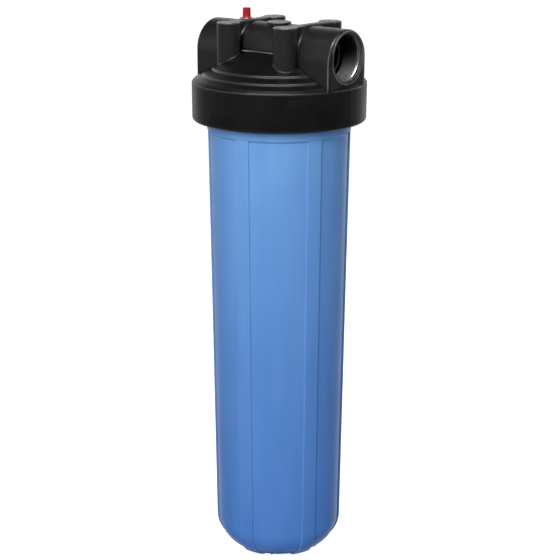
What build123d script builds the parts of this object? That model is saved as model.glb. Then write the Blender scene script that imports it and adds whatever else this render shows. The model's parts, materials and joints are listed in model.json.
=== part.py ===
from build123d import *
import math
import os

# Twenty-inch, large-diameter filter housing.  All lengths are millimetres.
# Origin: centre of the foot's underside.  +Z is up, the port barrel runs along X
# (inlet at -X, outlet at +X) and the front is -Y.

# --- sump ---------------------------------------------------------------------------
SUMP_WALL = 4.6
SUMP_R_LOW = 68.4          # plain wall radius at the top of the bottom corner
SUMP_R_HIGH = 73.8         # plain wall radius just under the band
SUMP_UNDERSIDE_Z = 2.0     # underside of the bottom, above the foot
SUMP_CORNER_R = 35.0
SUMP_FLOOR = 6.0
RIB_COUNT = 6
RIB_WIDTH = 16.0
RIB_HEIGHT = 1.75
RIB_FIRST_ANGLE = -82.9    # degrees about +Z, from +X
RIB_ROOT_R = 1.2           # concave rounding where a rib meets the wall
RIB_CREST_R = 0.4
FOOT_R = 28.0
FOOT_EDGE = 0.8
BAND_R = 76.2              # plain band where the ribs end, under the collar
BAND_Z = 483.0
BAND_TOP_Z = 493.0
NECK_R = 80.4              # root radius of the neck's thread
NECK_Z = 498.0
RIM_Z = 525.0
RIM_CHAMFER = 0.8

# --- screw thread between sump and head -------------------------------------------------
PITCH = 6.0
THREAD_TURNS = 3.4
THREAD_Z = 500.5           # where the sump's ridge starts
THREAD_DEPTH = 2.5
RIDGE_ROOT_WIDTH = 3.2
RIDGE_CREST_WIDTH = 1.8
RIDGE_ROOT_SINK = 0.6      # how far a ridge reaches into the wall that carries it
COLLAR_BORE_R = 83.4

# --- seal between sump and head ------------------------------------------------------
GROOVE_R = 75.4
GROOVE_WIDTH = 6.0
GROOVE_DEPTH = 4.4
SEAL_FACE_Z = 525.5
SEAL_GAP = 0.03

# --- head: collar and dome ------------------------------------------------------------
COLLAR_R = 92.0
COLLAR_BOTTOM_Z = 493.4
COLLAR_TOP_Z = 533.1
COLLAR_ENTRY_R = 84.8
COLLAR_ENTRY_Z = 498.0
COLLAR_BOTTOM_EDGE_R = 3.0
COLLAR_TOP_EDGE_R = 1.5
SHOULDER_R = 88.6          # rounded shoulder above the collar
SHOULDER_RISE = 3.4
SHOULDER_EDGE_R = 4.0
LOWER_STEP_R = 80.0        # two low steps lead from the shoulder up to the dome
LOWER_STEP_RISE = 8.6
UPPER_STEP_R = 70.0
UPPER_STEP_RISE = 14.8
STEP_HEIGHT = 2.1
STEP_SLANT = 1.1
STEP_EDGE_R = 0.9
COLLAR_DRAFT = 0.2         # how much narrower the collar is at its lower edge
DOME_MID_R = 52.0
DOME_MID_RISE = 25.0
DOME_FLAT_R = 24.0         # the dome is level inside this radius
DOME_TOP_RISE = 34.2
DOME_WALL = 6.0

# --- head: port barrel and bosses ------------------------------------------------------
PORT_Z = COLLAR_TOP_Z + 31.2
PORT_FACE_X = 88.4
BARREL_R = 28.6
HUB_R = 32.0               # wider end of the barrel, from the web out to the port
HUB_INNER_X = 36.0
HUB_EDGE_R = 2.4
HUB_INSET = 0.15           # the hub's corners stop this far inside the collar's side
SKIRT_HALF_WIDTH = 30.0    # the barrel's flat sides, down to the shoulder
PORT_RIM_R = 27.6
PORT_RIM_HEIGHT = 0.7
PORT_RIM_EDGE_R = 0.5
PORT_THREAD_R = 24.13      # major radius of a 1-1/2 inch taper pipe thread
PORT_THREAD_LENGTH = 26.0
PORT_CHAMFER = 1.6
PASSAGE_R = 20.0
DIVIDER_X = (-21.0, -13.0)
SILL_Y = 31.4              # low ledge at the foot of the barrel, between the bosses
SILL_HALF_LENGTH = 30.0
SILL_Z = COLLAR_TOP_Z + 32.4
SILL_HEIGHT = 2.0
SILL_EDGE_R = 0.6
BOSS_X = 37.0
BOSS_Y = 38.0
BOSS_R = 12.2
BOSS_TOP_Z = COLLAR_TOP_Z + 61.6
BOSS_EDGE_R = 1.0
BOSS_ROOT_R = 2.4
BOSS_HOLE_R = 2.2
BOSS_HOLE_DEPTH = 18.0
WEB_INNER_X = 33.0         # flat side of the web that joins two bosses over the barrel
WEB_OUTER_X = 41.4         # its hollow side, at the narrowest
WEB_TUCK = 1.2             # how far its outer corners stay inside the bosses
WEB_EDGE_R = 0.8
WEB_ROOT_R = 2.6
CENTRE_PAD_R = 12.4
CENTRE_PAD_TOP_Z = BOSS_TOP_Z
CENTRE_PAD_EDGE_R = 0.6

# --- head: inside ----------------------------------------------------------------------
PLENUM_R = 68.0
PLENUM_Z = 536.0
POCKET_Y = 34.0
INLET_DROP_X = -42.0
INLET_DROP_R = 13.0
SPIGOT_R = 13.2
SPIGOT_BORE_R = 10.5
SPIGOT_LENGTH = 22.0
KNIFE_RING_R = 22.5
KNIFE_RING_WIDTH = 3.0
KNIFE_TIP_WIDTH = 0.8

# --- pressure-relief button ------------------------------------------------------------
BUTTON_X = -44.0
BUTTON_R = 4.1
BUTTON_TOP_Z = 606.0
BUTTON_EDGE_R = 0.7
BUTTON_SWELL = 0.25        # how much wider the button is at its waist than at its top
BUTTON_WAIST_RISE = 3.0
BUTTON_WAIST_R = 1.2
FLANGE_RIM = 0.7
FLANGE_R = 5.5
FLANGE_THICKNESS = 1.4
WELL_R = 6.1
WELL_FLOOR_Z = COLLAR_TOP_Z + 55.0
WELL_LIP_R = 8.6
WELL_LIP_CHAMFER = 1.5
WELL_LIP_SLOPE = 2.1       # how far the lip's sloping rim reaches in from its edge
WELL_LIP_TOP_Z = COLLAR_TOP_Z + 62.2
STEM_R = 2.0
STEM_HOLE_R = 2.06
VENT_PAD_R = 7.0
VENT_PAD_DROP = 1.2
RELIEF_RING_SECTION = 1.8
RELIEF_RING_SQUASH = 1.5
WASHER_R = 4.6
WASHER_THICKNESS = 0.8
SCREW_HEAD_R = 2.8
SCREW_HEAD_HEIGHT = 1.6
SCREW_HEAD_EDGE_R = 0.7
SCREW_SHANK_R = 0.95
SCREW_SHANK_LENGTH = 7.0
SCREW_SLOT = (3.2, 0.6, 1.4)
STEM_END_GAP = 0.02        # between the stem and the washer, and the washer and the screw
SPRING_R = 4.6
SPRING_WIRE_R = 0.4
SPRING_TURNS = 3.0

# --- filter cartridge --------------------------------------------------------------------
CARTRIDGE_R = 57.15
CARTRIDGE_LENGTH = 504.8
CARTRIDGE_SEAT_Z = 21.5
CARTRIDGE_HOLE_R = 14.3
CAP_THICKNESS = 6.0
CAP_SKIRT = 12.0
CAP_SKIRT_WALL = 1.4
GASKET_R = 27.0
GASKET_THICKNESS = 3.0
GASKET_RECESS = 1.5
GASKET_GAP = 0.05
CORE_R = 26.0
CORE_WALL = 2.4
CORE_WINDOWS = (6, 22)     # windows round the tube, and rows of them along it
CAGE_R = 55.6
CAGE_WALL = 0.9
CAGE_WINDOWS = (10, 22)
WINDOW_SHARE = 0.7         # how much of its cell a window takes, each way
PLEAT_COUNT = 60
PLEAT_OUTER_R = 54.4
PLEAT_INNER_R = 26.3
PLEAT_FOLD = 7.5           # radial depth of the media at a fold


def turned(points):
    """Solid of revolution about Z from (radius, z) points."""
    outline = Polyline(*[(r, 0, z) for r, z in points], close=True)
    return revolve(make_face(outline), Axis.Z)


def ring(outer_r, inner_r, low_z, high_z):
    """Plain tube between two heights."""
    return turned([(inner_r, low_z), (outer_r, low_z), (outer_r, high_z), (inner_r, high_z)])


def rod(radius, low_z, high_z, x=0.0, y=0.0):
    """Vertical cylinder between two heights."""
    return Pos(x, y, (low_z + high_z) / 2) * Cylinder(radius, high_z - low_z)


def cross_rod(radius, start_x, end_x, z):
    """Cylinder along X between two stations."""
    middle = Pos((start_x + end_x) / 2, 0, z) * Rot(0, 90, 0)
    return middle * Cylinder(radius, end_x - start_x)


def oval_ring(radius, width, height, low_z):
    """Seal ring with an oval section, as it sits when squeezed."""
    section = Ellipse(width / 2, height / 2)
    at_radius = Plane(origin=(radius, 0, low_z + height / 2), x_dir=(1, 0, 0), z_dir=(0, -1, 0))
    return revolve(at_radius * section, Axis.Z)


# --- thread -----------------------------------------------------------------------------
def thread_ridge(root_r, crest_r, start_z, turns):
    """Helical ridge of trapezoidal section, right-handed."""
    flank = (RIDGE_ROOT_WIDTH - RIDGE_CREST_WIDTH) / 2 / THREAD_DEPTH
    sink_r = root_r - math.copysign(RIDGE_ROOT_SINK, crest_r - root_r)
    half_sunk = RIDGE_ROOT_WIDTH / 2 + flank * RIDGE_ROOT_SINK
    half_crest = RIDGE_CREST_WIDTH / 2
    section = Polyline(
        (sink_r, 0, start_z - half_sunk),
        (crest_r, 0, start_z - half_crest),
        (crest_r, 0, start_z + half_crest),
        (sink_r, 0, start_z + half_sunk),
        close=True,
    )
    path = Pos(0, 0, start_z) * Helix(PITCH, PITCH * turns, root_r)
    return sweep(make_face(section), path, is_frenet=True)


# --- sump ----------------------------------------------------------------------------------
def sump_section(offset, corner_r, floor_z, top_z):
    """Half section of the sump, from the axis to the wall, rounded at the bottom corner."""
    slope = (SUMP_R_HIGH - SUMP_R_LOW) / (BAND_Z - SUMP_CORNER_R)
    low_r = SUMP_R_LOW + offset - slope * SUMP_CORNER_R
    outline = Polyline(
        (0, 0, floor_z),
        (low_r + slope * floor_z, 0, floor_z),
        (low_r + slope * top_z, 0, top_z),
        (0, 0, top_z),
        close=True,
    )
    face = make_face(outline)
    corner = face.vertices().sort_by(Axis.X)[-2:].sort_by(Axis.Z)[0]
    return fillet(corner, corner_r)


def sump_ribs():
    """Six flat, low ribs down the wall, round the corner and under the bottom."""
    proud = sump_section(
        RIB_HEIGHT,
        SUMP_CORNER_R + RIB_HEIGHT,
        SUMP_UNDERSIDE_Z - RIB_HEIGHT,
        BAND_Z + RIB_HEIGHT,
    )
    shell = revolve(proud, Axis.Z)
    reach = 2 * COLLAR_R
    bar_height = BAND_Z + RIB_HEIGHT
    bar = Pos(reach / 2, 0, bar_height / 2) * Box(reach, RIB_WIDTH, bar_height)
    rib = shell & bar
    crests = rib.edges().filter_by(lambda e: abs(e.position_at(0.5).Y) > RIB_WIDTH / 2 - 0.01)
    crests = crests.filter_by(lambda e: e.position_at(0.5).X > 1 and e.position_at(0.5).Z < BAND_Z)
    rib = fillet(crests, RIB_CREST_R)
    return [Rot(0, 0, RIB_FIRST_ANGLE + 360 / RIB_COUNT * i) * rib for i in range(RIB_COUNT)]


def sump_seat():
    """Ring and stub on the sump floor that carry and centre the cartridge."""
    floor_z = SUMP_UNDERSIDE_Z + SUMP_FLOOR - 1
    half = KNIFE_RING_WIDTH / 2
    tip = KNIFE_TIP_WIDTH / 2
    knife = turned([
        (KNIFE_RING_R - half, floor_z),
        (KNIFE_RING_R + half, floor_z),
        (KNIFE_RING_R + half, CARTRIDGE_SEAT_Z - half),
        (KNIFE_RING_R + tip, CARTRIDGE_SEAT_Z),
        (KNIFE_RING_R - tip, CARTRIDGE_SEAT_Z),
        (KNIFE_RING_R - half, CARTRIDGE_SEAT_Z - half),
    ])
    stub = ring(SPIGOT_R, SPIGOT_BORE_R, floor_z, CARTRIDGE_SEAT_Z + 9)
    fins = []
    for i in range(RIB_COUNT):
        fin = Pos(KNIFE_RING_R + 15, 0, floor_z + 3) * Box(31, 3, 6)
        fins.append(Rot(0, 0, 360 / RIB_COUNT * i) * fin)
    return [knife, stub] + fins


def make_sump():
    shell = revolve(sump_section(0, SUMP_CORNER_R, SUMP_UNDERSIDE_Z, BAND_Z), Axis.Z)
    ribs = sump_ribs()
    outside = shell + ribs
    roots = new_edges(shell, *ribs, combined=outside)
    roots = roots.filter_by(lambda e: e.position_at(0.5).Z < BAND_Z - 1)
    outside = fillet(roots, RIB_ROOT_R)
    foot = turned([
        (0, 0),
        (FOOT_R - FOOT_EDGE, 0),
        (FOOT_R, FOOT_EDGE),
        (FOOT_R, SUMP_UNDERSIDE_Z + 1),
        (0, SUMP_UNDERSIDE_Z + 1),
    ])
    neck = turned([
        (0, BAND_Z - 3),
        (SUMP_R_HIGH - 0.5, BAND_Z - 3),
        (BAND_R, BAND_Z),
        (BAND_R, BAND_TOP_Z),
        (NECK_R, NECK_Z),
        (NECK_R, RIM_Z - RIM_CHAMFER),
        (NECK_R - RIM_CHAMFER, RIM_Z),
        (0, RIM_Z),
    ])
    solid = outside + foot + neck
    hollow = revolve(
        sump_section(
            -SUMP_WALL,
            SUMP_CORNER_R - SUMP_WALL,
            SUMP_UNDERSIDE_Z + SUMP_FLOOR,
            RIM_Z + 5,
        ),
        Axis.Z,
    )
    groove = ring(
        GROOVE_R + GROOVE_WIDTH / 2,
        GROOVE_R - GROOVE_WIDTH / 2,
        RIM_Z - GROOVE_DEPTH,
        RIM_Z + 1,
    )
    ridge = thread_ridge(NECK_R, NECK_R + THREAD_DEPTH, THREAD_Z, THREAD_TURNS)
    return solid - hollow - groove + sump_seat() + ridge


def make_sump_o_ring():
    height = SEAL_FACE_Z - (RIM_Z - GROOVE_DEPTH) - 2 * SEAL_GAP
    return oval_ring(GROOVE_R, GROOVE_WIDTH - 0.3, height, RIM_Z - GROOVE_DEPTH + SEAL_GAP)


# --- head --------------------------------------------------------------------------------
def dome_face(drop):
    """Half section of the domed top; a positive drop gives its inside."""
    rise = COLLAR_TOP_Z - drop
    start = (UPPER_STEP_R - drop, 0, rise + UPPER_STEP_RISE)
    middle = (DOME_MID_R - drop, 0, rise + DOME_MID_RISE)
    crest = (DOME_FLAT_R - drop, 0, rise + DOME_TOP_RISE)
    arc = ThreePointArc(start, middle, crest)
    rest = Polyline(
        crest,
        (0, 0, rise + DOME_TOP_RISE),
        (0, 0, COLLAR_TOP_Z - 5),
        (UPPER_STEP_R - drop, 0, COLLAR_TOP_Z - 5),
        start,
    )
    return make_face([arc, rest])


def collar_and_shoulder():
    steps = []
    for edge_r, rise in ((LOWER_STEP_R, LOWER_STEP_RISE), (UPPER_STEP_R, UPPER_STEP_RISE)):
        steps.append((edge_r + STEP_SLANT, COLLAR_TOP_Z + rise - STEP_HEIGHT))
        steps.append((edge_r, COLLAR_TOP_Z + rise))
    outline = [
        (0, COLLAR_BOTTOM_Z),
        (COLLAR_R - COLLAR_DRAFT, COLLAR_BOTTOM_Z),
        (COLLAR_R, COLLAR_TOP_Z),
        (SHOULDER_R, COLLAR_TOP_Z + SHOULDER_RISE),
        *steps,
        (0, COLLAR_TOP_Z + UPPER_STEP_RISE),
    ]
    face = make_face(Polyline(*[(r, 0, z) for r, z in outline], close=True))
    rounds = {
        (COLLAR_R - COLLAR_DRAFT, COLLAR_BOTTOM_Z): COLLAR_BOTTOM_EDGE_R,
        (COLLAR_R, COLLAR_TOP_Z): COLLAR_TOP_EDGE_R,
        (SHOULDER_R, COLLAR_TOP_Z + SHOULDER_RISE): SHOULDER_EDGE_R,
        steps[1]: STEP_EDGE_R,
    }
    for (r, z), radius in rounds.items():
        corner = face.vertices().sort_by_distance((r, 0, z))[0]
        face = fillet(corner, radius)
    return revolve(face, Axis.Z)


def arch_prism(top_r, half_width, start_x, end_x):
    """Upright arch along X, level with the barrel's top; its flat sides reach the shoulder."""
    low_z = COLLAR_TOP_Z - 5
    centre_z = PORT_Z + BARREL_R - top_r
    outline = make_face([
        Polyline(
            (start_x, -top_r, centre_z),
            (start_x, -half_width, COLLAR_TOP_Z),
            (start_x, -half_width, low_z),
            (start_x, half_width, low_z),
            (start_x, half_width, COLLAR_TOP_Z),
            (start_x, top_r, centre_z),
        ),
        ThreePointArc(
            (start_x, top_r, centre_z),
            (start_x, 0, centre_z + top_r),
            (start_x, -top_r, centre_z),
        ),
    ])
    return extrude(outline, amount=end_x - start_x, dir=(1, 0, 0))


def hub(side):
    """Wider end of the barrel, with a raised rim round the port."""
    face_x = PORT_FACE_X - PORT_RIM_HEIGHT
    body = arch_prism(HUB_R, HUB_R, HUB_INNER_X, face_x)
    outer = body.edges().filter_by(lambda e: e.center().X > face_x - 0.1)
    outer = outer.filter_by(lambda e: abs(e.center().Y) > 1 or e.center().Z > PORT_Z)
    body = fillet(outer, HUB_EDGE_R)
    rim = cross_rod(PORT_RIM_R, face_x - 1, PORT_FACE_X, PORT_Z)
    rim = fillet(rim.edges().filter_by(GeomType.CIRCLE).sort_by(Axis.X)[-1], PORT_RIM_EDGE_R)
    made = body + rim
    return made if side > 0 else Rot(0, 0, 180) * made


def web(side):
    """Wall over the barrel from a front boss to the one behind it, flush with their tops."""
    low_z = PORT_Z - BARREL_R / 2
    inner_x = side * WEB_INNER_X
    outer_x = side * (BOSS_X + BOSS_R - WEB_TUCK)
    outline = make_face([
        Line((inner_x, -BOSS_Y, low_z), (inner_x, BOSS_Y, low_z)),
        Line((inner_x, BOSS_Y, low_z), (outer_x, BOSS_Y, low_z)),
        ThreePointArc(
            (outer_x, BOSS_Y, low_z),
            (side * WEB_OUTER_X, 0, low_z),
            (outer_x, -BOSS_Y, low_z),
        ),
        Line((outer_x, -BOSS_Y, low_z), (inner_x, -BOSS_Y, low_z)),
    ])
    wall = extrude(outline, amount=BOSS_TOP_Z - low_z, dir=(0, 0, 1))
    rims = wall.edges().filter_by(lambda e: e.center().Z > BOSS_TOP_Z - 0.1)
    rims = rims.filter_by(lambda e: abs(e.center().Y) < 1)
    return fillet(rims, WEB_EDGE_R)


def port_barrel():
    body = arch_prism(BARREL_R, SKIRT_HALF_WIDTH, -HUB_INNER_X, HUB_INNER_X)
    body = body + hub(1) + hub(-1) + web(1) + web(-1)
    over_x = ((WEB_INNER_X, GeomType.CIRCLE), (WEB_OUTER_X, GeomType.BSPLINE))
    for web_x, kind in over_x:
        roots = body.edges().filter_by(kind)
        body = fillet(roots.filter_by(lambda e: abs(abs(e.center().X) - web_x) < 0.1), WEB_ROOT_R)
    body = body & rod(COLLAR_R - HUB_INSET, COLLAR_TOP_Z - 6, BUTTON_TOP_Z)
    sill = Pos(0, 0, SILL_Z) * Box(2 * SILL_HALF_LENGTH, 2 * SILL_Y, SILL_HEIGHT)
    long_edges = sill.edges().filter_by(Axis.X)
    return body + fillet(long_edges, SILL_EDGE_R)


def bosses():
    places = [(sx * BOSS_X, sy * BOSS_Y) for sx in (-1, 1) for sy in (-1, 1)]
    made = []
    for x, y in places:
        boss = rod(BOSS_R, COLLAR_TOP_Z + 8, BOSS_TOP_Z, x, y)
        top = boss.edges().sort_by(Axis.Z)[-1]
        made.append(fillet(top, BOSS_EDGE_R))
    pad = rod(CENTRE_PAD_R, PORT_Z + BARREL_R - 6, CENTRE_PAD_TOP_Z)
    made.append(fillet(pad.edges().sort_by(Axis.Z)[-1], CENTRE_PAD_EDGE_R))
    holes = [rod(BOSS_HOLE_R, BOSS_TOP_Z - BOSS_HOLE_DEPTH, BOSS_TOP_Z + 1, x, y) for x, y in places]
    return made, holes


def relief_well():
    """Raised lip and well for the button, and its stem hole; then the seat pad below."""
    lip = rod(WELL_LIP_R, PORT_Z + BARREL_R - 4, WELL_LIP_TOP_Z, BUTTON_X)
    lip = chamfer(lip.edges().sort_by(Axis.Z)[-1], WELL_LIP_SLOPE, WELL_LIP_CHAMFER)
    well = rod(WELL_R, WELL_FLOOR_Z, WELL_LIP_TOP_Z + 5, BUTTON_X)
    hole = rod(STEM_HOLE_R, PORT_Z, WELL_LIP_TOP_Z, BUTTON_X)
    seat_z = relief_heights()[0]
    pad = rod(VENT_PAD_R, seat_z, PORT_Z + PASSAGE_R + 1.5, BUTTON_X)
    return lip, [well, hole], pad


def water_ways():
    """Everything that is empty inside the head, apart from the thread's bore."""
    chamfer_r = PORT_THREAD_R + PORT_CHAMFER
    entry_x = PORT_FACE_X - PORT_THREAD_LENGTH
    cuts = []
    for side in (-1, 1):
        span = sorted((side * entry_x, side * (PORT_FACE_X + 1)))
        cuts.append(cross_rod(PORT_THREAD_R, span[0], span[1], PORT_Z))
        mouth = Cone(chamfer_r, PORT_THREAD_R, PORT_CHAMFER)
        turn = Rot(0, -90, 0) if side > 0 else Rot(0, 90, 0)
        cuts.append(Pos(side * (PORT_FACE_X - PORT_CHAMFER / 2), 0, PORT_Z) * turn * mouth)
    cuts.append(cross_rod(PASSAGE_R, -entry_x - 1, DIVIDER_X[0], PORT_Z))
    cuts.append(cross_rod(PASSAGE_R, DIVIDER_X[1], entry_x + 1, PORT_Z))
    cuts.append(rod(INLET_DROP_R, PLENUM_Z - 1, PORT_Z, INLET_DROP_X))
    cuts.append(rod(SPIGOT_BORE_R, PLENUM_Z - SPIGOT_LENGTH - 1, PORT_Z))
    return cuts


def dome_pockets():
    """Cored-out hollows under the dome, in front of and behind the port barrel."""
    inside = revolve(dome_face(DOME_WALL), Axis.Z)
    depth = UPPER_STEP_R
    middle_y = POCKET_Y + depth / 2
    block = Box(2 * UPPER_STEP_R, depth, 60)
    pockets = [inside & (Pos(0, s * middle_y, PLENUM_Z + 20) * block) for s in (-1, 1)]
    return pockets


def spigot_and_knife():
    """Outlet spigot that enters the cartridge, and the ring that presses on its gasket."""
    tip_z = CARTRIDGE_SEAT_Z + CARTRIDGE_LENGTH + SEAL_GAP
    half = KNIFE_RING_WIDTH / 2
    tip = KNIFE_TIP_WIDTH / 2
    top_z = PLENUM_Z + 1
    knife = turned([
        (KNIFE_RING_R - half, top_z),
        (KNIFE_RING_R - half, tip_z + half),
        (KNIFE_RING_R - tip, tip_z),
        (KNIFE_RING_R + tip, tip_z),
        (KNIFE_RING_R + half, tip_z + half),
        (KNIFE_RING_R + half, top_z),
    ])
    low_z = PLENUM_Z - SPIGOT_LENGTH
    spigot = turned([
        (SPIGOT_BORE_R, top_z),
        (SPIGOT_BORE_R, low_z),
        (SPIGOT_R - 1, low_z),
        (SPIGOT_R, low_z + 2),
        (SPIGOT_R, top_z),
    ])
    return [knife, spigot]


def make_head():
    lip, relief_cuts, vent_pad = relief_well()
    boss_solids, boss_holes = bosses()
    shell = collar_and_shoulder() + revolve(dome_face(0), Axis.Z)
    bossed = shell + boss_solids
    bossed = fillet(new_edges(shell, *boss_solids, combined=bossed), BOSS_ROOT_R)
    solid = bossed + port_barrel() + lip
    collar_bore = turned([
        (0, COLLAR_BOTTOM_Z - 1),
        (COLLAR_ENTRY_R, COLLAR_BOTTOM_Z - 1),
        (COLLAR_ENTRY_R, COLLAR_ENTRY_Z - 1.4),
        (COLLAR_BORE_R, COLLAR_ENTRY_Z),
        (COLLAR_BORE_R, SEAL_FACE_Z),
        (PLENUM_R, SEAL_FACE_Z),
        (PLENUM_R, PLENUM_Z),
        (0, PLENUM_Z),
    ])
    solid = solid - collar_bore - dome_pockets() - water_ways()
    solid = solid + vent_pad + spigot_and_knife()
    solid = solid - relief_cuts - boss_holes
    ridge = thread_ridge(
        COLLAR_BORE_R,
        COLLAR_BORE_R - THREAD_DEPTH,
        THREAD_Z + PITCH / 2,
        THREAD_TURNS - 0.5,
    )
    return solid + ridge


# --- relief button --------------------------------------------------------------------------
def relief_heights():
    """Heights of the stack below the head's vent seat, from the seat down."""
    seat_z = PORT_Z + PASSAGE_R - VENT_PAD_DROP
    ring_z = seat_z - SEAL_GAP - RELIEF_RING_SQUASH
    washer_z = ring_z - SEAL_GAP - WASHER_THICKNESS
    return seat_z, ring_z, washer_z


def flange_underside_z():
    return WELL_LIP_TOP_Z - FLANGE_THICKNESS


def make_relief_button():
    flange_z = flange_underside_z()
    _, _, washer_z = relief_heights()
    stem_end_z = washer_z + WASHER_THICKNESS + STEM_END_GAP
    outline = Polyline(
        (0, 0, stem_end_z),
        (STEM_R, 0, stem_end_z),
        (STEM_R, 0, flange_z),
        (FLANGE_R, 0, flange_z),
        (FLANGE_R, 0, flange_z + FLANGE_RIM),
        (BUTTON_R + BUTTON_SWELL, 0, flange_z + BUTTON_WAIST_RISE),
        (BUTTON_R, 0, BUTTON_TOP_Z),
        (0, 0, BUTTON_TOP_Z),
        close=True,
    )
    face = make_face(outline)
    rounds = [
        ((BUTTON_R, BUTTON_TOP_Z), BUTTON_EDGE_R),
        ((BUTTON_R + BUTTON_SWELL, flange_z + BUTTON_WAIST_RISE), BUTTON_WAIST_R),
    ]
    for (r, z), radius in rounds:
        corner = face.vertices().sort_by_distance((r, 0, z))[0]
        face = fillet(corner, radius)
    button = Pos(BUTTON_X, 0, 0) * revolve(face, Axis.Z)
    pilot = rod(SCREW_SHANK_R + STEM_END_GAP, stem_end_z - 1, stem_end_z + SCREW_SHANK_LENGTH, BUTTON_X)
    return button - pilot


def make_relief_spring():
    low_z = WELL_FLOOR_Z + SPRING_WIRE_R + SEAL_GAP
    height = flange_underside_z() - SEAL_GAP - SPRING_WIRE_R - low_z
    path = Helix(height / SPRING_TURNS, height, SPRING_R)
    wire = Plane(origin=path @ 0, z_dir=path % 0) * Circle(SPRING_WIRE_R)
    coil = sweep(wire, path, is_frenet=True)
    return Pos(BUTTON_X, 0, low_z) * coil


def make_relief_o_ring():
    _, ring_z, _ = relief_heights()
    radius = STEM_R + RELIEF_RING_SECTION / 2 + 0.06
    return Pos(BUTTON_X, 0, 0) * oval_ring(radius, RELIEF_RING_SECTION, RELIEF_RING_SQUASH, ring_z)


def make_relief_washer():
    _, _, washer_z = relief_heights()
    disc = ring(WASHER_R, SCREW_SHANK_R + 0.15, washer_z, washer_z + WASHER_THICKNESS)
    return Pos(BUTTON_X, 0, 0) * disc


def make_relief_screw():
    _, _, washer_z = relief_heights()
    under_z = washer_z - STEM_END_GAP
    head = rod(SCREW_HEAD_R, under_z - SCREW_HEAD_HEIGHT, under_z, BUTTON_X)
    head = fillet(head.edges().sort_by(Axis.Z)[0], SCREW_HEAD_EDGE_R)
    shank = rod(SCREW_SHANK_R, under_z - 1, under_z + SCREW_SHANK_LENGTH, BUTTON_X)
    screw = head + shank
    for angle in (0, 90):
        slot = Pos(BUTTON_X, 0, under_z - SCREW_HEAD_HEIGHT) * Rot(0, 0, angle) * Box(*SCREW_SLOT)
        screw = screw - slot
    return screw


# --- cartridge --------------------------------------------------------------------------------
def cartridge_ends():
    return CARTRIDGE_SEAT_Z, CARTRIDGE_SEAT_Z + CARTRIDGE_LENGTH


def end_cap_section(outward_z, up):
    """Half section of an end cap whose gasket face is at outward_z; up is +1 at the top."""
    face_z = outward_z - up * GASKET_RECESS
    inner_z = face_z - up * CAP_THICKNESS
    skirt_z = face_z - up * CAP_SKIRT
    recess_z = outward_z - up * GASKET_THICKNESS
    return [
        (CARTRIDGE_HOLE_R, recess_z),
        (GASKET_R + GASKET_GAP, recess_z),
        (GASKET_R + GASKET_GAP, face_z),
        (CARTRIDGE_R - 1, face_z),
        (CARTRIDGE_R, face_z - up),
        (CARTRIDGE_R, skirt_z),
        (CARTRIDGE_R - CAP_SKIRT_WALL, skirt_z),
        (CARTRIDGE_R - CAP_SKIRT_WALL, inner_z),
        (CARTRIDGE_HOLE_R, inner_z),
    ]


def make_end_cap(up):
    bottom_z, top_z = cartridge_ends()
    return turned(end_cap_section(top_z if up > 0 else bottom_z, up))


def make_gasket(up):
    bottom_z, top_z = cartridge_ends()
    if up > 0:
        return ring(GASKET_R, CARTRIDGE_HOLE_R + 0.2, top_z - GASKET_THICKNESS, top_z)
    return ring(GASKET_R, CARTRIDGE_HOLE_R + 0.2, bottom_z, bottom_z + GASKET_THICKNESS)


def media_span():
    """Heights between the insides of the two end caps."""
    bottom_z, top_z = cartridge_ends()
    inset = GASKET_RECESS + CAP_THICKNESS
    return bottom_z + inset, top_z - inset


def windowed_tube(outer_r, wall, windows):
    """Open moulded tube: rows of windows between rings and bars."""
    low_z, high_z = media_span()
    tube = ring(outer_r, outer_r - wall, low_z, high_z)
    around, along = windows
    cell_z = (high_z - low_z) / along
    cell_arc = 2 * math.pi * outer_r / around
    cutter = Box(2 * outer_r + 4, cell_arc * WINDOW_SHARE, cell_z * WINDOW_SHARE)
    for i in range(around // 2):
        turn = Rot(0, 0, 360 / around * i)
        column = [
            Pos(0, 0, low_z + cell_z * (k + 0.5)) * turn * cutter
            for k in range(along)
        ]
        tube = tube - column
    return tube


def star(tip_r, valley_r):
    """Closed zigzag of PLEAT_COUNT folds."""
    step = math.pi / PLEAT_COUNT
    points = []
    for i in range(2 * PLEAT_COUNT):
        r = tip_r if i % 2 == 0 else valley_r
        points.append((r * math.cos(i * step), r * math.sin(i * step)))
    return make_face(Polyline(*points, close=True))


def make_media():
    low_z, high_z = media_span()
    outer = star(PLEAT_OUTER_R, PLEAT_INNER_R + PLEAT_FOLD)
    inner = star(PLEAT_OUTER_R - PLEAT_FOLD, PLEAT_INNER_R)
    return Pos(0, 0, low_z) * extrude(outer - inner, amount=high_z - low_z)


NODES = {
    "head": make_head,
    "sump": make_sump,
    "sump_o_ring": make_sump_o_ring,
    "relief_button": make_relief_button,
    "relief_spring": make_relief_spring,
    "relief_o_ring": make_relief_o_ring,
    "relief_washer": make_relief_washer,
    "relief_screw": make_relief_screw,
    "cartridge_media": make_media,
    "cartridge_core": lambda: windowed_tube(CORE_R, CORE_WALL, CORE_WINDOWS),
    "cartridge_cage": lambda: windowed_tube(CAGE_R, CAGE_WALL, CAGE_WINDOWS),
    "cartridge_top_cap": lambda: make_end_cap(1),
    "cartridge_bottom_cap": lambda: make_end_cap(-1),
    "cartridge_top_gasket": lambda: make_gasket(1),
    "cartridge_bottom_gasket": lambda: make_gasket(-1),
}

os.makedirs("parts", exist_ok=True)
for name, make in NODES.items():
    shape = make()
    shape.label = name
    export_step(shape, f"parts/{name}.step")
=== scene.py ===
import json
import math

import bmesh
import bpy
from mathutils import Matrix, Vector


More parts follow.
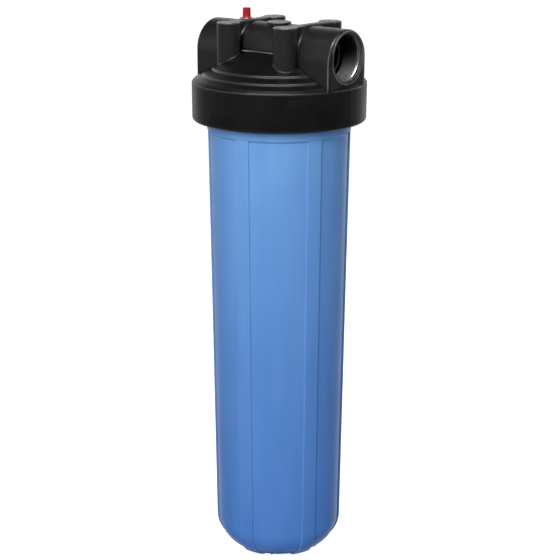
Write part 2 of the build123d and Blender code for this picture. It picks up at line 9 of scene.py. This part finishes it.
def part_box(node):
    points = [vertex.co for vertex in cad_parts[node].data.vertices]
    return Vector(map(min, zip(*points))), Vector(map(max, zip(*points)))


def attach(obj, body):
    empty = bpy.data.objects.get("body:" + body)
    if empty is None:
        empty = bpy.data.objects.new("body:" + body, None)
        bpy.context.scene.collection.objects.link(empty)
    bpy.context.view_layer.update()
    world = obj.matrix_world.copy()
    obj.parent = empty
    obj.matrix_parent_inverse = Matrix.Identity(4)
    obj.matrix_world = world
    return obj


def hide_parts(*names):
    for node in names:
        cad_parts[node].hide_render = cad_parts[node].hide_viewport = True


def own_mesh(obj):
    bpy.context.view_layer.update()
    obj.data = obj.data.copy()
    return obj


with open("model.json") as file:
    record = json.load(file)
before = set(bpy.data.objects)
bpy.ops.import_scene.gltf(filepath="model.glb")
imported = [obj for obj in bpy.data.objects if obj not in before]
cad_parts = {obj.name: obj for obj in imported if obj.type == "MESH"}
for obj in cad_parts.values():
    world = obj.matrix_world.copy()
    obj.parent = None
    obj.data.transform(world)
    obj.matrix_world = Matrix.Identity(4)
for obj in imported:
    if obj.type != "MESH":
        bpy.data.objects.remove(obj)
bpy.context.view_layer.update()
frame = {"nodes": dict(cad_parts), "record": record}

MM = 0.001

# Camera: it looks down at the housing from the outlet side of the front.
CAMERA_AT = Vector((0.8879, -1.1320, 0.7574))
CAMERA_AZIMUTH = 38.06
CAMERA_PITCH = 17.126
CAMERA_ROLL = 0.155
CAMERA_LENS = 88.26
SENSOR = 36

# Port thread: 1-1/2 inch taper pipe thread, 11.5 turns to the inch.
PORT_WALL_R = 24.13 * MM
PORT_DEPTH = 24.0 * MM
PORT_CHAMFER = 1.6 * MM
THREAD_PITCH = 25.4 / 11.5 * MM
THREAD_HEIGHT = 1.35 * MM
THREAD_TAPER = 1 / 32
THREAD_STEPS = 72
THREAD_SINK = 0.25 * MM       # how far the ridge's foot reaches into the wall
THREAD_LIFT = 0.05 * MM       # where a ridge of no height ends, also inside the wall
THREAD_CREST_SHARE = 0.08     # half the crest's width, as a share of the pitch
THREAD_ROOT_SHARE = 0.47      # half the foot's width
THREAD_RUN_OUT = 1 / 1.5      # turns over which the ridge rises and falls away
SHARP_ANGLE = math.radians(32)

# Relief spring
COIL_TURNS = 3.0
COIL_WIRE_R = 0.4 * MM
COIL_STEPS = 40
COIL_SIDES = 10


# --- materials ---------------------------------------------------------------------------
# Shares of the space around a point that is solid or open, where the masks begin and end.
SOLID_SHARE = 0.97
CREASE_SHARE = 0.35
OPEN_SHARE = 0.9

# Heights at which the finish and the painted light change, from the top of the bowl
BOWL_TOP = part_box("sump")[1].z
COLLAR_RIM = (BOWL_TOP + 6 * MM, BOWL_TOP + 15 * MM)
DOME_TOP = (BOWL_TOP + 41 * MM, BOWL_TOP + 47 * MM)
# The bowl is painted lighter between these two heights: painted light from above.
TOP_LIGHT_FROM = 60 * MM
TOP_LIGHT_TO = BOWL_TOP - 25 * MM


class Shader:
    """A material's node tree, built one node at a time."""

    def __init__(self, owner):
        owner.use_nodes = True
        self.tree = owner.node_tree
        self.tree.nodes.clear()

    def add(self, kind, inputs=None, **settings):
        """New node of a kind, with its sockets fed from inputs and its options from settings."""
        node = self.tree.nodes.new("ShaderNode" + kind)
        for name, value in settings.items():
            setattr(node, name, value)
        for name, value in (inputs or {}).items():
            self.feed(node.inputs[name], value)
        return node

    def feed(self, socket, value):
        """Links a node or a socket's output to a socket, or sets a plain value on it."""
        if isinstance(value, bpy.types.Node):
            value = value.outputs[0]
        if isinstance(value, bpy.types.NodeSocket):
            self.tree.links.new(value, socket)
        else:
            socket.default_value = value

    def math(self, operation, *values):
        node = self.add("Math", operation=operation)
        for i, value in enumerate(values):
            self.feed(node.inputs[i], value)
        return node

    def remap(self, value, low, high, to_low=0.0, to_high=1.0):
        """Eased change from to_low to to_high as the value goes from low to high."""
        sockets = {"From Min": low, "From Max": high, "To Min": to_low, "To Max": to_high}
        return self.add("MapRange", {"Value": value, **sockets}, interpolation_type="SMOOTHSTEP")

    def noise(self, scale, detail=2.0, roughness=0.5, stretch=None):
        """Cloudy value around 0.5; scale counts its blobs per metre, and stretch scales each axis."""
        where = self.add("TexCoord").outputs["Object"]
        if stretch is not None:
            where = self.add("Mapping", {"Vector": where, "Scale": stretch}).outputs[0]
        sockets = {"Vector": where, "Scale": scale, "Detail": detail, "Roughness": roughness}
        return self.add("TexNoise", sockets).outputs[0]

    def blend(self, factor, first, second):
        """Mix of two colours: the first at factor 0, the second at factor 1."""
        node = self.add("Mix", data_type="RGBA")
        self.feed(node.inputs[0], factor)
        self.feed(node.inputs[6], first)
        self.feed(node.inputs[7], second)
        return node.outputs[2]

    def bump(self, height, distance, normal=None):
        """Surface normal roughened by a height that stands for a distance in metres."""
        sockets = {"Height": height, "Distance": distance, "Strength": 1.0}
        if normal is not None:
            sockets["Normal"] = normal
        return self.add("Bump", sockets).outputs[0]

    def corners(self, reach, soft):
        """1 along outer corners and 0 on open faces: how much open air lies just under the skin; the
        materials paint highlights along corners with it.
        """
        node = self.add("AmbientOcclusion", {"Distance": reach}, samples=8, inside=True)
        return self.remap(node.outputs["AO"], SOLID_SHARE - soft, SOLID_SHARE, 1.0, 0.0)

    def hollows(self, reach):
        """0 deep in creases and 1 on open faces; the materials paint shade into creases with it."""
        node = self.add("AmbientOcclusion", {"Distance": reach}, samples=8)
        return self.remap(node.outputs["AO"], CREASE_SHARE, OPEN_SHARE)

    def height(self):
        """Height above the foot, in metres."""
        where = self.add("TexCoord").outputs["Object"]
        return self.add("SeparateXYZ", {"Vector": where}).outputs["Z"]

    def level(self, low, high):
        """1 where the surface faces up, 0 on walls; low and high bound the change between them."""
        facing = self.add("NewGeometry").outputs["Normal"]
        up = self.add("SeparateXYZ", {"Vector": facing}).outputs["Z"]
        return self.remap(up, low, high)

    def finish(self, **inputs):
        """Principled surface; underscores in the names stand for spaces."""
        named = {name.replace("_", " "): value for name, value in inputs.items()}
        surface = self.add("BsdfPrincipled", named)
        self.add("OutputMaterial", {"Surface": surface})


def rgb(red, green, blue):
    """Linear colour from 0-255 display values."""
    def linear(value):
        value = value / 255
        return value / 12.92 if value <= 0.04045 else ((value + 0.055) / 1.055) ** 2.4
    return (linear(red), linear(green), linear(blue), 1.0)


def head_black():
    """Black satin polypropylene: fine grain, faint moulding streaks, corners painted pale as scuffs and
    painted highlight, walls above the collar painted lighter as painted light, painted shade in creases,
    matt treads.
    """
    mat = bpy.data.materials.new("head_black")
    s = Shader(mat)
    grain = s.noise(1500, detail=3.0, roughness=0.6)
    mottle = s.noise(420, detail=2.0)
    cloud = s.noise(28, detail=3.0)
    streaks = s.noise(260, detail=2.0, stretch=(1, 1, 0.03))
    corner = s.corners(1.6 * MM, 0.3)
    open_face = s.math("MULTIPLY", s.hollows(5 * MM), s.hollows(1.6 * MM))
    scuffed_and_highlit = s.math("MULTIPLY", corner, s.remap(s.noise(160, detail=4.0), 0.2, 0.55, 0.35, 1.0))
    tone = s.blend(s.remap(mottle, 0.3, 0.7), rgb(10, 10, 9), rgb(16, 16, 14))
    # Painted light: walls above the collar rim are painted a lighter grey than the collar below.
    crown = s.remap(s.height(), *COLLAR_RIM, 0.0, 0.8)
    painted_lit_walls = s.math("MULTIPLY", crown, s.math("MULTIPLY_ADD", s.level(0.3, 0.9), -0.85, 1.0))
    tone = s.blend(painted_lit_walls, tone, rgb(36, 36, 33))
    tone = s.blend(s.remap(cloud, 0.35, 0.7, 0.0, 0.25), tone, rgb(30, 30, 28))
    # Painted highlight along outer corners, mixed with scuffs where the noise allows.
    tone = s.blend(s.math("MULTIPLY", scuffed_and_highlit, 0.85), tone, rgb(150, 150, 144))
    # Painted shade: creases darkened towards black.
    tone = s.blend(open_face, rgb(4, 4, 4), tone)
    rough = s.remap(cloud, 0.3, 0.7, 0.33, 0.40)
    rough = s.math("ADD", rough, s.remap(streaks, 0.3, 0.7, -0.03, 0.04))
    rough = s.math("SUBTRACT", rough, s.math("MULTIPLY", corner, 0.08))
    rounded = s.add("Bevel", {"Radius": 0.6 * MM}, samples=6).outputs[0]
    relief = s.bump(grain, 0.018 * MM, rounded)
    relief = s.bump(mottle, 0.016 * MM, relief)
    relief = s.bump(streaks, 0.02 * MM, relief)
    tread = s.math("MULTIPLY", s.level(0.35, 0.7), s.remap(s.height(), *DOME_TOP, 1.0, 0.0))
    matt = s.math("MULTIPLY", tread, s.math("SUBTRACT", 1.0, corner))
    gloss = s.math("MULTIPLY", s.math("MULTIPLY_ADD", corner, 0.6, 0.5), open_face)
    gloss = s.math("MULTIPLY", gloss, s.math("MULTIPLY_ADD", matt, -0.75, 1.0))
    s.finish(Base_Color=tone, Roughness=rough, Normal=relief, Specular_IOR_Level=gloss)
    return mat


def thread_black():
    """The head's plastic on the port threads: smoother, never scuffed, with painted shade in its
    creases.
    """
    mat = bpy.data.materials.new("thread_black")
    s = Shader(mat)
    mottle = s.noise(420, detail=2.0)
    tone = s.blend(s.remap(mottle, 0.3, 0.7), rgb(12, 12, 11), rgb(20, 20, 18))
    # Painted shade: thread creases darkened towards black.
    tone = s.blend(s.hollows(2 * MM), rgb(4, 4, 4), tone)
    s.finish(
        Base_Color=tone,
        Roughness=s.remap(mottle, 0.3, 0.7, 0.29, 0.34),
        Normal=s.bump(mottle, 0.01 * MM),
    )
    return mat


def bowl_blue():
    """Blue polypropylene bowl: semi-gloss, flow marks down its length, painted lighter towards the
    collar as painted light, painted highlights along corners and painted shade in creases.
    """
    mat = bpy.data.materials.new("bowl_blue")
    s = Shader(mat)
    flow = s.noise(45, detail=3.0, stretch=(1, 1, 0.12))
    cloud = s.noise(14, detail=2.0)
    grain = s.noise(300, detail=1.0)
    ripple = s.noise(90, detail=1.0, stretch=(1, 1, 0.25))
    scratch = s.noise(260, detail=2.0, stretch=(1, 1, 0.02))
    corner = s.corners(1.0 * MM, 0.35)
    open_face = s.hollows(2.5 * MM)
    # Painted light: paler colour towards the collar, darker towards the foot.
    painted_top_light = s.add("MapRange", {"Value": s.height(), "From Min": TOP_LIGHT_FROM, "From Max": TOP_LIGHT_TO})
    deep = s.blend(painted_top_light, rgb(84, 132, 203), rgb(110, 156, 207))
    light = s.blend(painted_top_light, rgb(92, 140, 208), rgb(117, 163, 212))
    tone = s.blend(s.remap(flow, 0.3, 0.7), deep, light)
    tone = s.blend(s.remap(cloud, 0.35, 0.65, 0.0, 0.12), tone, rgb(76, 124, 196))
    # Painted highlight: pale line along the rib corners.
    tone = s.blend(s.math("MULTIPLY", corner, 0.45), tone, rgb(160, 196, 236))
    # Painted shade: creases between the ribs darkened.
    tone = s.blend(open_face, rgb(46, 84, 150), tone)
    rough = s.remap(cloud, 0.3, 0.7, 0.285, 0.335)
    rough = s.math("ADD", rough, s.remap(scratch, 0.45, 0.8, 0.0, 0.08))
    rounded = s.add("Bevel", {"Radius": 0.4 * MM}, samples=6).outputs[0]
    relief = s.bump(grain, 0.004 * MM, rounded)
    relief = s.bump(ripple, 0.03 * MM, relief)
    s.finish(Base_Color=tone, Roughness=rough, Normal=relief, Specular_IOR_Level=0.5)
    return mat


def button_red():
    """Red moulded button, glossy, with painted shade in its creases and pale painted highlights along
    its corners.
    """
    mat = bpy.data.materials.new("button_red")
    s = Shader(mat)
    cloud = s.noise(300, detail=2.0)
    grain = s.noise(2500, detail=2.0)
    tone = s.blend(s.remap(cloud, 0.3, 0.7), rgb(174, 18, 32), rgb(192, 28, 40))
    # Painted highlight: pale red along the corners.
    tone = s.blend(s.math("MULTIPLY", s.corners(0.6 * MM, 0.35), 0.3), tone, rgb(235, 110, 110))
    # Painted shade: dark red in the creases.
    tone = s.blend(s.hollows(2.5 * MM), rgb(110, 4, 14), tone)
    rounded = s.add("Bevel", {"Radius": 0.3 * MM}, samples=6).outputs[0]
    s.finish(
        Base_Color=tone,
        Roughness=s.remap(cloud, 0.3, 0.7, 0.285, 0.33),
        Normal=s.bump(grain, 0.012 * MM, rounded),
        Subsurface_Weight=0.08,
        Subsurface_Radius=(1.0, 0.2, 0.1),
        Subsurface_Scale=1.5 * MM,
    )
    return mat


def seal_rubber():
    """Black nitrile rubber: matt, with a bloom of lighter dust."""
    mat = bpy.data.materials.new("seal_rubber")
    s = Shader(mat)
    bloom = s.noise(220, detail=4.0)
    pores = s.noise(2600, detail=2.0)
    tone = s.blend(s.remap(bloom, 0.45, 0.8), rgb(18, 18, 19), rgb(44, 44, 45))
    s.finish(
        Base_Color=tone,
        Roughness=s.remap(bloom, 0.3, 0.7, 0.5, 0.68),
        Normal=s.bump(pores, 0.02 * MM),
    )
    return mat


def stainless():
    """Stainless steel with fine turning lines and a few handling smudges."""
    mat = bpy.data.materials.new("stainless")
    s = Shader(mat)
    turned = s.noise(3000, detail=2.0, stretch=(0.08, 0.08, 1))
    smudge = s.noise(250, detail=3.0)
    tone = s.blend(s.remap(smudge, 0.3, 0.7), rgb(186, 188, 190), rgb(204, 206, 207))
    s.finish(
        Base_Color=tone,
        Metallic=1.0,
        Roughness=s.remap(smudge, 0.3, 0.7, 0.2, 0.34),
        Normal=s.bump(turned, 0.01 * MM),
    )
    return mat


def pleated_media():
    """Off-white non-woven polyester: matted fibres with a soft sheen."""
    mat = bpy.data.materials.new("pleated_media")
    s = Shader(mat)
    fibres = s.noise(1100, detail=5.0, roughness=0.7, stretch=(1, 1, 0.35))
    tufts = s.noise(140, detail=3.0)
    tone = s.blend(s.remap(fibres, 0.35, 0.7), rgb(214, 213, 206), rgb(240, 239, 234))
    tone = s.blend(s.remap(tufts, 0.4, 0.75, 0.0, 0.4), tone, rgb(205, 203, 192))
    s.finish(
        Base_Color=tone,
        Roughness=0.9,
        Normal=s.bump(fibres, 0.12 * MM),
        Sheen_Weight=0.3,
        Sheen_Roughness=0.6,
    )
    return mat


def white_plastic():
    """Natural white polypropylene of the cartridge's caps, core and cage."""
    mat = bpy.data.materials.new("white_plastic")
    s = Shader(mat)
    cloud = s.noise(60, detail=3.0)
    grain = s.noise(1400, detail=2.0)
    tone = s.blend(s.remap(cloud, 0.3, 0.7), rgb(226, 227, 224), rgb(238, 238, 236))
    rounded = s.add("Bevel", {"Radius": 0.3 * MM}, samples=4).outputs[0]
    s.finish(
        Base_Color=tone,
        Roughness=s.remap(cloud, 0.3, 0.7, 0.36, 0.46),
        Normal=s.bump(grain, 0.015 * MM, rounded),
        Subsurface_Weight=0.1,
        Subsurface_Radius=(1.0, 1.0, 0.9),
        Subsurface_Scale=1.0 * MM,
    )
    return mat


def pale_floor():
    """Matt white sweep, lit enough of itself to stay white up to the horizon."""
    mat = bpy.data.materials.new("pale_floor")
    s = Shader(mat)
    speck = s.noise(120, detail=3.0)
    tone = s.blend(s.remap(speck, 0.3, 0.7), rgb(188, 188, 187), rgb(194, 194, 193))
    s.finish(
        Base_Color=tone,
        Roughness=0.7,
        Specular_IOR_Level=0.2,
        Emission_Color=(1, 0.98, 0.96, 1),
        Emission_Strength=0.93,
    )
    return mat


MATERIALS = {
    make.__name__: make()
    for make in (
        head_black, thread_black, bowl_blue, button_red, seal_rubber, stainless, pleated_media,
        white_plastic)
}


def paint_cad_nodes():
    """Each CAD node takes the material named by its slot in the record."""
    for part in frame["record"]["subparts"]:
        mesh = frame["nodes"][part["node"]].data
        mesh.materials.clear()
        mesh.materials.append(MATERIALS[part["material_slot"]])


# --- pieces -------------------------------------------------------------------------------
def swept(name, rings, body, slot):
    """Closed tube through rings of points, capped at both ends, riding on a body."""
    mesh = bpy.data.meshes.new(name)
    shape = bmesh.new()
    loops = [[shape.verts.new(point) for point in ring] for ring in rings]
    count = len(loops[0])
    for before, after in zip(loops, loops[1:]):
        for i in range(count):
            j = (i + 1) % count
            shape.faces.new((before[i], before[j], after[j], after[i]))
    shape.faces.new(list(reversed(loops[0])))
    shape.faces.new(loops[-1])
    bmesh.ops.recalc_face_normals(shape, faces=shape.faces)
    shape.to_mesh(mesh)
    shape.free()
    piece = bpy.data.objects.new(name, mesh)
    bpy.context.scene.collection.objects.link(piece)
    mesh.materials.append(MATERIALS[slot])
    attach(piece, body)
    return piece


def mount(name):
    """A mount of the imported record, by its name."""
    return next(m for m in frame["record"]["mounts"] if m["name"] == name)


def port_thread(name, side):
    """Female pipe thread: one helical ridge round the port's wall, run out at both ends."""
    port = mount("outlet_port")
    middle_x, _, axis_z = port["pos_m"]
    mouth_x = middle_x + port["dims"]["length_mm"] * MM / 2
    start_x = mouth_x - PORT_CHAMFER - THREAD_PITCH / 2
    turns = (PORT_DEPTH - PORT_CHAMFER - THREAD_PITCH) / THREAD_PITCH
    total = int(turns * THREAD_STEPS)
    sunk_r = PORT_WALL_R + THREAD_SINK
    rings = []
    for step in range(total + 1):
        angle = 2 * math.pi * step / THREAD_STEPS
        depth = THREAD_PITCH * step / THREAD_STEPS
        turns_from_end = min(step, total - step) / THREAD_STEPS
        run_out = min(1.0, turns_from_end / THREAD_RUN_OUT)
        height = (THREAD_HEIGHT + depth * THREAD_TAPER) * run_out
        crest_r = PORT_WALL_R + THREAD_LIFT - height
        profile = [
            (sunk_r, -THREAD_ROOT_SHARE * THREAD_PITCH),
            (crest_r, -THREAD_CREST_SHARE * THREAD_PITCH),
            (crest_r, THREAD_CREST_SHARE * THREAD_PITCH),
            (sunk_r, THREAD_ROOT_SHARE * THREAD_PITCH),
        ]
        rings.append([
            (side * (start_x - depth + along), side * r * math.sin(angle), axis_z + r * math.cos(angle))
            for r, along in profile
        ])
    piece = swept(name, rings, "head", "head_black")
    piece.data.materials[0] = MATERIALS["thread_black"]
    piece.data.shade_smooth()
    piece.data.set_sharp_from_angle(angle=SHARP_ANGLE)
    return piece


def relief_coil():
    """Spring under the button, coiled inside the relief spring part's box, which it replaces."""
    low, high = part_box("relief_spring")
    centre = (low + high) / 2
    radius = (high.x - low.x) / 2 - COIL_WIRE_R
    start_z = low.z + COIL_WIRE_R
    rise = high.z - low.z - 2 * COIL_WIRE_R
    rings = []
    total = int(COIL_TURNS * COIL_STEPS)
    for step in range(total + 1):
        angle = 2 * math.pi * step / COIL_STEPS
        outward = Vector((math.cos(angle), math.sin(angle), 0))
        middle = Vector((centre.x, centre.y, start_z + rise * step / total)) + outward * radius
        ring = []
        for side in range(COIL_SIDES):
            turn = 2 * math.pi * side / COIL_SIDES
            offset = outward * math.cos(turn) + Vector((0, 0, 1)) * math.sin(turn)
            ring.append(middle + offset * COIL_WIRE_R)
        rings.append(ring)
    piece = swept("relief_coil", rings, "head", "stainless")
    piece.data.shade_smooth()
    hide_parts("relief_spring")
    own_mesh(piece)
    return piece


# --- studio --------------------------------------------------------------------------------
TURN = math.radians(CAMERA_AZIMUTH)
TO_CAMERA = Vector((math.sin(TURN), -math.cos(TURN), 0))
TO_RIGHT = Vector((math.cos(TURN), math.sin(TURN), 0))

# Brightness of the panels mirrored in the plastic, by angle from the camera's side:
# 0 is the camera, -90 its left, 90 its right and 180 behind the housing.
LOW_PANELS = (
    (-180, 0.04), (-164, 0.04), (-157, 0.9), (-145, 0.55), (-130, 0.22), (-112, 0.09),
    (-85, 0.06), (0, 0.04), (95, 0.05), (115, 0.14), (132, 0.30), (147, 0.70), (157, 0.9),
    (164, 0.04), (180, 0.04),
)
HIGH_PANELS = ((-180, 1.2), (-120, 1.0), (-75, 0.30), (0, 0.25), (80, 0.15), (120, 0.9), (180, 1.2))
OVERHEAD = (0.06, 0.06, 0.06, 1)
AMBIENT = (0.19, 0.275, 0.375, 1)


def panel_curve(shader, angle, panels):
    """Brightness at an angle in degrees, along straight lines through the panels' points."""
    share = shader.add("MapRange", {"Value": angle, "From Min": -180.0, "From Max": 180.0})
    peak = max(value for _, value in panels)
    curve = shader.add("FloatCurve", {"Value": share})
    line = curve.mapping.curves[0]
    for degrees, value in panels[1:-1]:
        line.points.new((degrees + 180) / 360, value / peak)
    for point, (degrees, value) in zip(line.points, panels):
        point.location = ((degrees + 180) / 360, value / peak)
        point.handle_type = "VECTOR"
    curve.mapping.update()
    return shader.math("MULTIPLY", curve, peak)


def studio_world():
    """White to the camera, an even soft light on the object, and panels for it to mirror."""
    world = bpy.data.worlds.new("studio")
    bpy.context.scene.world = world
    s = Shader(world)
    direction = s.add("TexCoord").outputs["Generated"]
    ahead = s.add("VectorMath", {0: direction, 1: TO_CAMERA}, operation="DOT_PRODUCT").outputs["Value"]
    aside = s.add("VectorMath", {0: direction, 1: TO_RIGHT}, operation="DOT_PRODUCT").outputs["Value"]
    angle = s.math("DEGREES", s.math("ARCTAN2", aside, ahead))
    height = s.add("SeparateXYZ", {"Vector": direction}).outputs["Z"]
    low = panel_curve(s, angle, LOW_PANELS)
    high = panel_curve(s, angle, HIGH_PANELS)
    painted_lit_walls = s.blend(s.remap(height, -0.06, 0.04), low, high)
    mirrored = s.blend(s.remap(height, 0.32, 0.62), painted_lit_walls, OVERHEAD)
    path = s.add("LightPath")
    level = s.blend(path.outputs["Is Diffuse Ray"], mirrored, AMBIENT)
    colour = s.blend(path.outputs["Is Camera Ray"], level, (1, 1, 1, 1))
    background = s.add("Background", {"Color": colour, "Strength": 1.0})
    s.add("OutputWorld", {"Surface": background})


def softbox(name, azimuth, elevation, distance, width, height, power, target_z):
    """Rectangular light; azimuth is from the camera's side, positive to the right."""
    turn = math.radians(azimuth)
    flat = TO_CAMERA * math.cos(turn) + TO_RIGHT * math.sin(turn)
    rise = math.radians(elevation)
    away = flat * math.cos(rise) + Vector((0, 0, math.sin(rise)))
    light = bpy.data.lights.new(name, "AREA")
    light.shape = "RECTANGLE"
    light.size = width
    light.size_y = height
    light.energy = power
    lamp = bpy.data.objects.new(name, light)
    lamp.location = Vector((0, 0, target_z)) + away * distance
    lamp.rotation_mode = "QUATERNION"
    lamp.rotation_quaternion = (-away).to_track_quat("-Z", "Y")
    bpy.context.scene.collection.objects.link(lamp)
    return lamp


def lights(threads):
    """The key, the rim and the back light shape the bowl; the others are there to be mirrored."""
    key = softbox(
        "key", azimuth=-16, elevation=25, distance=1.5, width=0.6, height=0.8, power=20, target_z=0.42)
    key.visible_glossy = False
    rim = softbox(
        "rim", azimuth=118, elevation=12, distance=1.5, width=0.4, height=1.0, power=3, target_z=0.30)
    rim.visible_glossy = False
    back = softbox(
        "back", azimuth=180, elevation=20, distance=1.5, width=0.6, height=0.8, power=14, target_z=0.42)
    back.visible_glossy = False
    strip = softbox(
        "strip", azimuth=-8, elevation=62, distance=1.2, width=1.1, height=0.22, power=20, target_z=0.56)
    strip.visible_diffuse = False
    port_light = softbox(
        "port_light", azimuth=40, elevation=48, distance=1.0, width=0.4, height=0.4, power=260,
        target_z=0.56)
    port_light.visible_diffuse = False
    lit_by_it = bpy.data.collections.new("port_threads")
    for thread in threads:
        lit_by_it.objects.link(thread)
    port_light.light_linking.receiver_collection = lit_by_it


def floor():
    """Wide level plane under the foot."""
    half = 20
    mesh = bpy.data.meshes.new("floor")
    corners = [(-half, -half, 0), (half, -half, 0), (half, half, 0), (-half, half, 0)]
    mesh.from_pydata(corners, [], [(0, 1, 2, 3)])
    mesh.materials.append(pale_floor())
    plane = bpy.data.objects.new("floor", mesh)
    bpy.context.scene.collection.objects.link(plane)
    plane.visible_glossy = False
    plane.visible_diffuse = False


def studio_camera():
    """Camera at the reference view."""
    camera = bpy.data.objects.new("camera", bpy.data.cameras.new("camera"))
    bpy.context.scene.collection.objects.link(camera)
    camera.data.lens = CAMERA_LENS
    camera.data.sensor_width = SENSOR
    turn = Matrix.Rotation(math.radians(CAMERA_AZIMUTH), 4, "Z")
    tilt = Matrix.Rotation(math.radians(90 - CAMERA_PITCH), 4, "X")
    roll = Matrix.Rotation(math.radians(CAMERA_ROLL), 4, "Z")
    camera.matrix_world = Matrix.Translation(CAMERA_AT) @ turn @ tilt @ roll
    bpy.context.scene.camera = camera


paint_cad_nodes()
threads = [port_thread("inlet_thread", -1), port_thread("outlet_thread", 1)]
relief_coil()
studio_world()
floor()
lights(threads)
studio_camera()
bpy.context.scene.view_settings.view_transform = "Standard"
